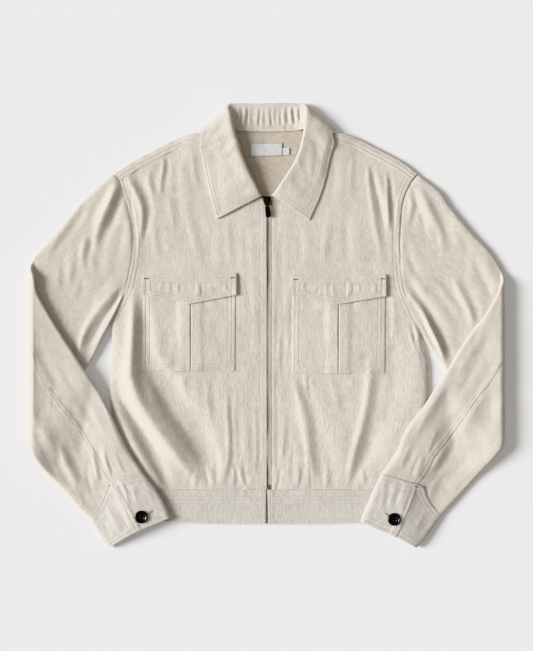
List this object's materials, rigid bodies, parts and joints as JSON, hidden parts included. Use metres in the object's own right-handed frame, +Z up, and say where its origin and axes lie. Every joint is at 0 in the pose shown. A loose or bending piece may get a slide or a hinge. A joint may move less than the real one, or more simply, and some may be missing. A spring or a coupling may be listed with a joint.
{
  "type": "chore jacket",
  "caption": "Cotton canvas work jacket lying on its back, zip closed, pointed collar, flapped chest pockets and both forearms folded in over the body.",
  "frame": {"origin": "middle of the jacket's outline, on the surface it lies on", "axes": "+Y towards the collar, +Z up out of the front, +X towards the wearer's left sleeve"},
  "size_m": [0.8056, 0.7542, 0.0204],
  "materials": {
    "canvas": "plain woven cotton canvas, matt",
    "canvas_inside": "plain woven cotton canvas, matt",
    "label": "satin woven tape",
    "tab": "satin woven tape",
    "black_plastic": "gloss",
    "black_metal": "gloss"
  },
  "bodies": {
    "jacket": {"back": "canvas_inside", "waistband_back": "canvas", "collar": "canvas", "neck_label": "label", "size_tab": "tab", "zip_slider": "black_metal", "front_right": "canvas", "pocket_right": "canvas", "flap_right": "canvas", "waistband_right": "canvas", "sleeve_top_right": "canvas", "sleeve_under_right": "canvas", "cuff_right": "canvas", "zip_tape_right": "canvas", "button_right": "black_plastic", "front_left": "canvas", "pocket_left": "canvas", "flap_left": "canvas", "waistband_left": "canvas", "sleeve_top_left": "canvas", "sleeve_under_left": "canvas", "cuff_left": "canvas", "zip_tape_left": "canvas", "button_left": "black_plastic"},
    "pull_tab": {"zip_pull_tab": "black_metal"}
  },
  "joints": [
    {"name": "pull_hinge", "type": "hinge", "parent": "jacket", "child": "pull_tab", "pos_m": [-0.00007, 0.2092, 0.0104], "axis": [-0.9936, -0.1132, 0], "range_deg": [0, 170]}
  ]
}
